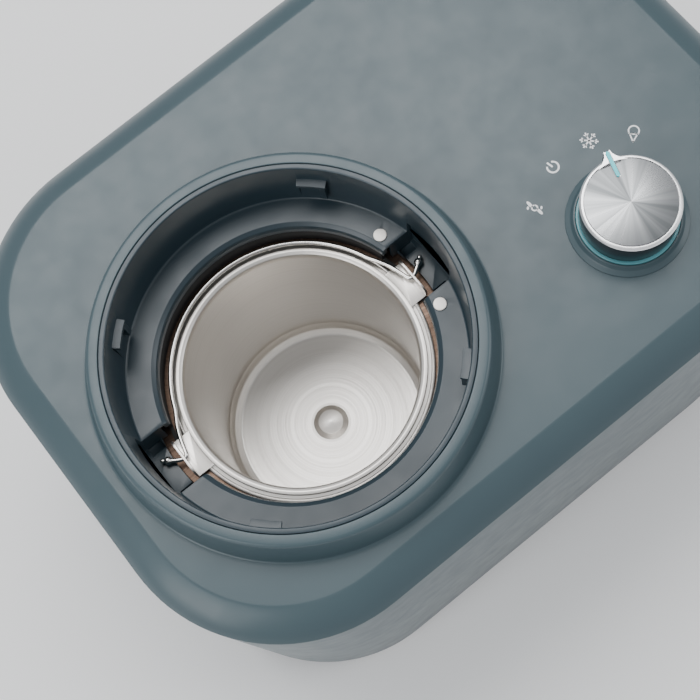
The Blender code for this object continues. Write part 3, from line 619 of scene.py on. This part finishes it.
def makeInsert():
    ring = turned("collar_insert", insertOutline, wellAt, loop=True)
    half, outer = insert["notchHalf"], insert["notchOut"]
    sides, angles = (1, -1), insert["lugAngles"]
    combine(ring, joined([notchBlock(half + insert["wall"], outer + 2.0, insert["wallIn"], 179.0,
                                     insert["wallTop"], side) for side in sides]), "UNION")
    # the walls end in the ledge, so each notch stays open above, and the collar closes its back
    combine(ring, joined([arcBlock("back", 94.4, 98.05, 197.6, 212.3, middle + insert["backStart"],
                                   middle + insert["backEnd"], wellAt, 24)
                          for middle in (0, 180)]), "UNION")
    # their steps stay clear of the ring's own, or the Boolean leaves gaps
    combine(ring, joined([arcBlock("lug", insert["lugIn"], insert["lugOut"], insert["lugLow"],
                                   insert["lugHigh"], angle - 5.07, angle + 4.96, wellAt, 11)
                          for angle in angles]), "UNION")
    combine(ring, joined([arcBlock("stop", 90.7, 95.6, 206.3, 222.2, angle - 4.7, angle - 2.6,
                                   wellAt) for angle in angles]), "UNION")
    combine(ring, joined([notchBlock(half, outer, 60, insert["pad"], 211.6, side)
                          for side in sides]))
    combine(ring, joined([notchBlock(half, insert["mouth"], 60, 170, 186, side) for side in sides]))
    tools = []
    for side in sides:
        for flank in sides:
            xs = sorted((wellAt[0] + side * 84.0, wellAt[0] + side * 92.6))
            ys = sorted((wellAt[1] + flank * insert["padHalf"], wellAt[1] + flank * half))
            tools.append(block("recess", (xs[0], ys[0], 180.2), (xs[1], ys[1], 184)))
    for angle in (insert["contactAngle"], -insert["contactAngle"]):
        tools.append(rod("stem", 1.9, 190, 205, polar(wellAt, insert["contactRadius"], angle)))
    for angle in cover["screwAngles"]:
        tools.append(rod("bore", 1.7, 200, 215, polar(wellAt, cover["bossRadius"], angle)))
    combine(ring, joined(tools))
    soften(ring, 0.3, 2, 50)
    openMesh(ring)
    bpy.ops.mesh.remove_doubles(threshold=0.01 * mm)
    clearSelection()
    # the insert is the same teal plastic, worn here in its copy with painted shade
    return place(smooth(ring), "base", tealShadedCopy, "teal_plastic", "well_collar")


# a black rubber seal ring in the band below the ledge where the well is in shade: its black is
# partly the seal's own colour and partly painted shade
def makeSealAndShadeRing():
    ring = turned("well_seal_shade_ring", [
        (77.0, 178.3, 0.3), (79.1, 178.3), (79.1, 191.7), (77.0, 191.7, 0.3)], wellAt, loop=True)
    reach = insert["notchHalf"] + 2.6
    combine(ring, block("gap", (wellAt[0] - 90, wellAt[1] - reach, 179.3),
                        (wellAt[0] + 90, wellAt[1] + reach, 200)))
    return place(smooth(ring), "base", blackRubber, "rubber", "collar_gasket")


def makeContacts():
    for side, angle in (("rear", insert["contactAngle"]), ("front", -insert["contactAngle"])):
        pin = turned("contact_" + side, [
            (1.5, 188.0), (1.5, 199.8), (3.7, 199.8, 0.1), (3.7, 200.5, 0.35), (0.4, 200.5)],
            polar(wellAt, insert["contactRadius"], angle), 48)
        place(pin, "base", contactMetal, "steel", "contact_pin_" + side)


makeInsert()
makeSealAndShadeRing()
makeContacts()
print("collar made")

# evaporator can and bowl

canOutline = [(2.0, 40.3), (66.4, 40.3), (69.2, 43.0), (69.2, 176.8), (88.0, 176.8, 0.3),
              (88.0, 178.0, 0.3), (69.2, 178.0, 1.0), (68.0, 176.8, 0.5), (68.0, 43.6, 2.0),
              (66.2, 41.5), (2.0, 41.5)]
bowlOutline = [(1.0, 45.6), (8.0, 43.9), (11.3, 41.8, 1.0), (59.0, 41.8, 4.0), (64.2, 44.2, 3.0),
               (66.6, 50.0, 3.0), (66.6, 176.4, 1.0), (68.8, 179.4, 0.8), (74.2, 179.4, 0.25),
               (74.2, 180.7, 0.5), (73.0, 181.0, 0.2), (72.5, 180.6, 0.2), (72.0, 180.9, 0.2),
               (70.25, 181.1, 0.1), (70.2, 182.1, 0.45), (68.2, 182.3, 1.2),
               (66.2, 181.4, 1.4), (65.4, 178.0, 2.0), (65.2, 50.6, 4.0), (63.2, 45.4, 3.0),
               (58.8, 43.0, 3.0), (11.3, 43.0, 0.8), (8.0, 45.1, 1.0), (1.0, 46.8)]
bowl = {"earAt": 79.8, "tabIn": 69.2, "tabHalf": 12.0, "tabLow": 180.2, "tabHigh": 181.4,
        "pivot": 185.5, "eye": 2.4}


# the plate that stands up at an ear: an outline in Y and Z, made from a plane
def upstand(side):
    low, high = 180.3, 189.0
    ear = plate("upstand", (wellAt[0] + side * bowl["earAt"], wellAt[1], (low + high) / 2),
                (high - low, 2 * bowl["tabHalf"]), (0, 90, 0))
    openMesh(ear)
    bpy.ops.mesh.select_mode(type="VERT")
    bpy.ops.mesh.select_all(action="DESELECT")
    mesh = bmesh.from_edit_mesh(ear.data)
    for vertex in mesh.verts:
        vertex.select_set(vertex.co.z > 185 * mm)
    bmesh.update_edit_mesh(ear.data)
    bpy.ops.mesh.bevel(offset=4.6 * mm, segments=6, affect="VERTICES")
    closeMesh(ear)
    return modify(ear, "SOLIDIFY", thickness=1.2 * mm, offset=0)


def makeCan():
    can = turned("can_liner", canOutline, wellAt, loop=False)
    return place(can, "base", canMetalPaintedReflection, "can_aluminium", "evaporator_can")


def makeBowl():
    pot = turned("mixing_bowl", bowlOutline, wellAt, 160, loop=False)
    for side in (1, -1):
        xs = sorted((wellAt[0] + side * bowl["tabIn"], wellAt[0] + side * (bowl["earAt"] - 0.2)))
        combine(pot, block("tab", (xs[0], wellAt[1] - bowl["tabHalf"], bowl["tabLow"]),
                           (xs[1], wellAt[1] + bowl["tabHalf"], bowl["tabHigh"])), "UNION")
        combine(pot, upstand(side), "UNION")
        clearSelection()
        bpy.ops.mesh.primitive_cylinder_add(
            vertices=32, radius=bowl["eye"] * mm, depth=6 * mm, rotation=(0, math.radians(90), 0),
            location=((wellAt[0] + side * bowl["earAt"]) * mm, wellAt[1] * mm, bowl["pivot"] * mm))
        combine(pot, settle(nameIt("eye")))
    soften(pot, 0.2, 2, 50)
    return place(smooth(pot), "bowl", bowlMetal, "bowl_aluminium", "bowl")


makeCan()
makeBowl()
print("bowl made")

# bail: one wire in a plane, with a hooked and pointed end each side

bail = {"wire": 1.2, "radius": 72.0, "arcSteps": 96}
bailTail = [(91.0, 7.2), (90.7, 7.0), (89.5, 6.1), (89.1, 5.8), (88.3, 5.2),
            (86.9, 4.1), (86.1, 3.5), (84.6, 2.4), (82.0, 0.7),
            (79.9, -0.1), (78.3, 0.1), (77.4, 1.2), (76.6, 4.4), (75.1, 9.7), (72.4, 17.0)]
bailThickness = [0.3, 1.1, 1.1, 1.0, 2.0, 2.0, 1.1, 1.1]


def makeBail():
    arc = [(bail["radius"] * math.cos(math.radians(20 + 140 * i / bail["arcSteps"])),
            bail["radius"] * math.sin(math.radians(20 + 140 * i / bail["arcSteps"])))
           for i in range(bail["arcSteps"] + 1)]
    line = bailTail + arc + [(-x, y) for x, y in reversed(bailTail)]
    thickness = bailThickness + [1.0] * (len(line) - 2 * len(bailThickness)) + bailThickness[::-1]
    curve = bpy.data.curves.new("bail_wire", "CURVE")
    curve.dimensions = "3D"
    curve.bevel_depth = bail["wire"] * mm
    curve.bevel_resolution = 6
    curve.use_fill_caps = True
    spline = curve.splines.new("NURBS")
    spline.points.add(len(line) - 1)
    spline.order_u = 3
    spline.use_endpoint_u = True
    spline.resolution_u = 4
    for point, (x, y), radius in zip(spline.points, line, thickness):
        point.co = ((wellAt[0] + x) * mm, (wellAt[1] + y) * mm, bowl["pivot"] * mm, 1)
        point.radius = radius
    piece = bpy.data.objects.new("bail_wire", curve)
    bpy.context.scene.collection.objects.link(piece)
    makeActive(piece)
    bpy.ops.object.convert(target="MESH")
    closeMesh(bpy.context.object, 50)
    return place(bpy.context.object, "bail", wireSteel, "bail_steel", "bail_handle")


makeBail()
print("bail made")

# knob with its bezel and light ring

knob = {"top": 241.1, "polishAbove": 238.0, "pointer": 73.0, "tip": 30.2,
        "slotHalf": 1.3, "barHalf": 1.0}


# a flat bar along the pointer with round ends
def pointerBar(name, near, far, half, low, high):
    bar = block(name, (knobAt[0] + near, knobAt[1] - half, low),
                (knobAt[0] + far, knobAt[1] + half, high))
    openMesh(bar)
    pick(bar, "edges", lambda edge: abs(edge.verts[0].co.z - edge.verts[1].co.z) > 0.1 * mm)
    bpy.ops.mesh.bevel(offset=(half - 0.02) * mm, segments=6, affect="EDGES")
    closeMesh(bar)
    return turnAbout(bar, knob["pointer"], knobAt)


# the beak: a wedge from the rim with hollow flanks
def beakBlock():
    tipHalf, rootHalf, root = 1.7, 8.6, 22.0
    steps = 8
    beak = plate("beak", (knobAt[0] + (root + knob["tip"]) / 2, knobAt[1], 232),
                 (knob["tip"] - root, 2 * rootHalf))
    openMesh(beak)
    bpy.ops.mesh.subdivide(number_cuts=steps)
    mesh = bmesh.from_edit_mesh(beak.data)
    for vertex in mesh.verts:
        along = (vertex.co.x / mm - knobAt[0] - root) / (knob["tip"] - root)
        half = tipHalf + (rootHalf - tipHalf) * max(1 - along, 0) ** 1.9
        vertex.co.y = knobAt[1] * mm + (vertex.co.y - knobAt[1] * mm) * half / rootHalf
    bmesh.update_edit_mesh(beak.data)
    bpy.ops.mesh.select_all(action="SELECT")
    bpy.ops.mesh.extrude_region_move(
        TRANSFORM_OT_translate={"value": (0, 0, (knob["top"] - 232) * mm)})
    closeMesh(beak)
    return turnAbout(beak, knob["pointer"], knobAt)


def makeKnob():
    cap = turned("knob_cap", [
        (3.3, 232.4), (3.3, 224.0), (8.0, 224.0), (8.0, 236.6), (24.0, 236.6), (23.6, 222.6),
        (25.5, 222.6, 0.3), (26.2, 239.6, 0.3), (25.2, 241.1, 0.4), (24.3, 241.1), (24.3, 240.2),
        (1.0, 240.2)], knobAt, 128, arcSteps=3)
    combine(cap, beakBlock(), "UNION")
    combine(cap, pointerBar("groove", 14.6, 31.5, knob["slotHalf"], 240.3, 243))
    soften(cap, 0.25, 2, 50)
    place(smooth(cap), "knob", knobSteel, "knob_metal", "knob_body")
    cap.data.materials.append(knobEdge)
    for polygon in cap.data.polygons:                # the polished edge and the beak's top
        if polygon.center.z > knob["polishAbove"] * mm and polygon.normal.z > 0.2:
            polygon.material_index = 1
    disc = turned("knob_plate", [(1.0, 240.5), (24.0, 240.5), (24.0, 241.1, 0.3), (1.0, 241.1)],
                  knobAt, 128, arcSteps=3)
    combine(disc, pointerBar("slot", 14.6, 31.5, knob["slotHalf"], 239, 243))
    place(smooth(disc), "knob", knobFace, "knob_face", "knob_disc")
    bar = pointerBar("pointer_bar", 15.0, 30.0, knob["barHalf"], 240.6, knob["top"] + 0.1)
    soften(bar, 0.12, 2, 50)
    place(smooth(bar), "knob", cyanPlastic, "pointer_cyan", "knob_pointer")


def makeBezel():
    bezel = turned("knob_surround", [
        (27.4, 216.9), (32.4, 216.9), (32.3, 217.3, 0.2), (29.6, 218.5, 1.5), (28.2, 221.0, 0.4),
        (27.4, 221.0)], knobAt, 128, loop=True)
    place(bezel, "base", tealPlastic, "teal_plastic", "knob_bezel")
    ring = turned("lit_ring", [
        (25.2, 199.6), (27.0, 199.6), (27.0, 211.2), (31.0, 211.2), (31.0, 213.4), (27.0, 213.4),
        (27.0, 222.0, 0.4), (25.2, 222.0, 0.3)], knobAt, 128, loop=True)
    place(ring, "base", ringPlastic, "light_ring", "light_ring")


makeKnob()
makeBezel()
print("knob made")

# underside: base plate and feet

under = {"inset": 2.8, "low": 8.3, "high": 10.8, "footFromCorner": 58.0,
         "compressor": (84.0, 64.0), "mountRadius": 62.0, "mountAngles": (50, 170, 290)}
footOutline = [(1.0, 0.0), (10.6, 0.0, 0.8), (11.0, 8.0, 0.4), (3.6, 8.0), (3.6, 11.1),
               (5.0, 11.5, 0.4), (3.2, 14.6, 0.4), (1.0, 14.6)]


def makeUnderside():
    bottom = planFace("bottom_plate", under["inset"], under["low"])
    bpy.ops.mesh.extrude_region_move(
        TRANSFORM_OT_translate={"value": (0, 0, (under["high"] - under["low"]) * mm)})
    closeMesh(bottom)
    corners = {"rear_right": (1, 1), "rear_left": (-1, 1), "front_left": (-1, -1),
               "front_right": (1, -1)}
    tools = []
    for sx, sy in corners.values():
        tools.append(rod("foot_bore", 3.9, 5, 14, cornerPoint(sx, sy, under["footFromCorner"])))
        tools.append(rod("screw_bore", 1.8, 5, 14, cornerPoint(sx, sy, cover["postFromCorner"])))
    for angle in under["mountAngles"]:
        tools.append(rod("mount_bore", 2.6, 5, 14,
                         polar(under["compressor"], under["mountRadius"], angle)))
    for i in range(6):
        y = 39 + 10 * i
        tools.append(block("air_slot", (62, y - 2, 5), (106, y + 2, 14)))
    combine(bottom, joined(tools))
    soften(bottom, 0.3, 2, 50)
    place(smooth(bottom), "base", basePlastic, "base_plastic", "base_plate")
    for name, (sx, sy) in corners.items():
        foot = turned("rubber_foot_" + name, footOutline,
                      cornerPoint(sx, sy, under["footFromCorner"]), 64)
        place(foot, "base", blackRubber, "rubber", "foot_" + name)


def makeInlet():
    x, z = housing["inletX"], housing["inletZ"]
    rear = body["depth"] / 2
    piece = block("inlet_body", (x - 13.7, rear - 27, z - 10.7), (x + 13.7, rear - 0.4, z + 10.7))
    socket = block("socket", (x - 11, rear - 17, z - 8), (x + 11, rear + 2, z + 8))
    openMesh(socket)
    pick(socket, "edges", lambda edge: abs(edge.verts[0].co.y - edge.verts[1].co.y) > 5 * mm
         and edge.verts[0].co.z > z * mm)
    bpy.ops.mesh.bevel(offset=4 * mm, segments=2, affect="EDGES")
    clearSelection()
    combine(piece, socket)
    for px, pz in ((x - 7, z - 2), (x + 7, z - 2), (x, z + 2.5)):
        combine(piece, block("pin_bore", (px - 1.3, rear - 25, pz - 2.3),
                             (px + 1.3, rear - 10, pz + 2.3)))
    soften(piece, 0.4, 2, 50)
    place(smooth(piece), "base", blackPlastic, "black_plastic", "mains_inlet")


makeUnderside()
makeInlet()
print("underside made")

# printed signs around the knob

signs = {"radius": 48.5, "low": 216.55, "high": 216.65, "spotSides": 40, "arcSteps": 24,
         "power": 102.0, "cold": 73.0, "cone": 44.6, "paddle": 132.0}


def signBar(centre, start, end, width):
    first, last = Vector(start), Vector(end)
    along = last - first
    middle = (first + last) / 2
    clearSelection()
    bpy.ops.mesh.primitive_cube_add(
        size=1, location=((centre[0] + middle.x) * mm, (centre[1] + middle.y) * mm,
                          (signs["low"] + signs["high"]) / 2 * mm),
        rotation=(0, 0, math.atan2(along.y, along.x)),
        scale=((along.length + width * 0.8) * mm, width * mm, (signs["high"] - signs["low"]) * mm))
    return settle(nameIt("sign_bar"))


def signArc(centre, radius, width, start, end):
    return arcBlock("sign_arc", radius - width / 2, radius + width / 2, signs["low"], signs["high"],
                    start, end, centre, signs["arcSteps"])


def signLine(centre, points, width):
    return [signBar(centre, a, b, width) for a, b in zip(points, points[1:])]


# signs are drawn upright and turned to stand outwards from the knob
def makeSign(name, strokes, angle, centre):
    piece = joined(strokes)
    piece.name = name
    piece.data.name = name
    turnAbout(piece, angle - 90, centre)
    return place(piece, "base", whitePrint, "bowl_aluminium")


def powerSign(angle):
    centre = polar(knobAt, signs["radius"], angle)
    strokes = [signArc(centre, 3.1, 1.0, 125, 415), signBar(centre, (0, 0.6), (0, 3.6), 1.0)]
    return makeSign("sign_power", strokes, angle, centre)


def coldSign(angle):
    centre = polar(knobAt, signs["radius"], angle)
    strokes = []
    for arm in range(6):
        lean = math.radians(60 * arm + 30)
        out = Vector((math.cos(lean), math.sin(lean)))
        side = Vector((-out.y, out.x))
        strokes.append(signBar(centre, (0, 0), out * 4.7, 0.8))
        for hand in (1, -1):
            strokes.append(signBar(centre, out * 2.9, out * 3.9 + side * hand * 1.1, 0.6))
    return makeSign("sign_cold", strokes, angle, centre)


# a filled oval spot, leaning
def signSpot(centre, at, size, lean=0.0):
    clearSelection()
    bpy.ops.mesh.primitive_cylinder_add(vertices=signs["spotSides"], radius=0.5, depth=1)
    spot = nameIt("sign_spot")
    spot.scale = (size[0] * mm, size[1] * mm, (signs["high"] - signs["low"]) * mm)
    spot.rotation_euler = (0, 0, math.radians(lean))
    spot.location = ((centre[0] + at[0]) * mm, (centre[1] + at[1]) * mm,
                     (signs["low"] + signs["high"]) / 2 * mm)
    return settle(spot)


def coneSign(angle):
    centre = polar(knobAt, signs["radius"], angle)
    strokes = signLine(centre, [(-2.0, -0.4), (0, -4.7), (2.0, -0.4)], 0.75)
    strokes.append(signArc(centre + Vector((0, 1.7)), 2.8, 0.8, -30, 210))
    for x in (-1.75, 0, 1.75):
        strokes.append(signArc(centre + Vector((x, 0.5)), 0.9, 0.7, 180, 360))
    return makeSign("sign_cone", strokes, angle, centre)


def paddleSign(angle):
    centre = polar(knobAt, signs["radius"], angle)
    strokes = [signArc(centre, 1.5, 0.8, 0, 350)]
    for hand in (1, -1):
        strokes.append(signSpot(centre, (1.6 * hand, 2.9 * hand), (4.4, 1.7), 50))
        strokes.append(signSpot(centre, (-0.6 * hand, 3.5 * hand), (1.9, 1.2), 5))
    return makeSign("sign_paddle", strokes, angle, centre)


paddleSign(signs["paddle"])
powerSign(signs["power"])
coldSign(signs["cold"])
coneSign(signs["cone"])
print("signs made")

# floor, light and camera

clearSelection()
bpy.ops.mesh.primitive_plane_add(size=8, location=(0, 0, -0.0002))
floor = nameIt("floor")
wear(floor, grained("pale_floor", (0.95, 0.95, 0.95), (0.94, 0.94, 0.94), 0.6, cloud=2, grain=200,
                    strength=0.05))

lights = {
    "overhead": {"at": (0.2, 0.9, 2.2), "aim": (0.0, 0.0, 0.2), "size": (1.8, 1.2), "power": 40},
    "left": {"at": (-1.6, -0.3, 1.2), "aim": (0.0, 0.0, 0.2), "size": (0.9, 1.4), "power": 16},
    "right": {"at": (1.7, -0.9, 1.3), "aim": (0.0, 0.0, 0.2), "size": (0.9, 1.4), "power": 12},
}
for name, light in lights.items():
    data = bpy.data.lights.new(name, "AREA")
    data.shape = "RECTANGLE"
    data.size, data.size_y = light["size"]
    data.energy = light["power"]
    lamp = bpy.data.objects.new(name, data)
    lamp.location = light["at"]
    towards = Vector(light["aim"]) - Vector(light["at"])
    lamp.rotation_euler = towards.to_track_quat("-Z", "Y").to_euler()
    bpy.context.scene.collection.objects.link(lamp)

world = bpy.data.worlds.new("studio")
bpy.context.scene.world = world
world.use_nodes = True
world.node_tree.nodes["Background"].inputs["Color"].default_value = (0.93, 0.96, 1.0, 1)
world.node_tree.nodes["Background"].inputs["Strength"].default_value = 0.55

view = {"at": (-0.110298, -0.232985, 0.899455), "lens": 70.12,
        "right": (0.77925, -0.61719, -0.10884), "up": (0.62125, 0.73787, 0.26381),
        "back": (-0.08252, -0.27319, 0.95841)}
cameraData = bpy.data.cameras.new("camera")
cameraData.lens = view["lens"]
cameraData.sensor_width = 36
cameraData.dof.use_dof = False
camera = bpy.data.objects.new("camera", cameraData)
camera.matrix_world = Matrix.Translation(view["at"]) @ Matrix(
    (view["right"], view["up"], view["back"])).transposed().to_4x4()
bpy.context.scene.collection.objects.link(camera)
bpy.context.scene.camera = camera

bpy.context.view_layer.update()
print("scene ready")
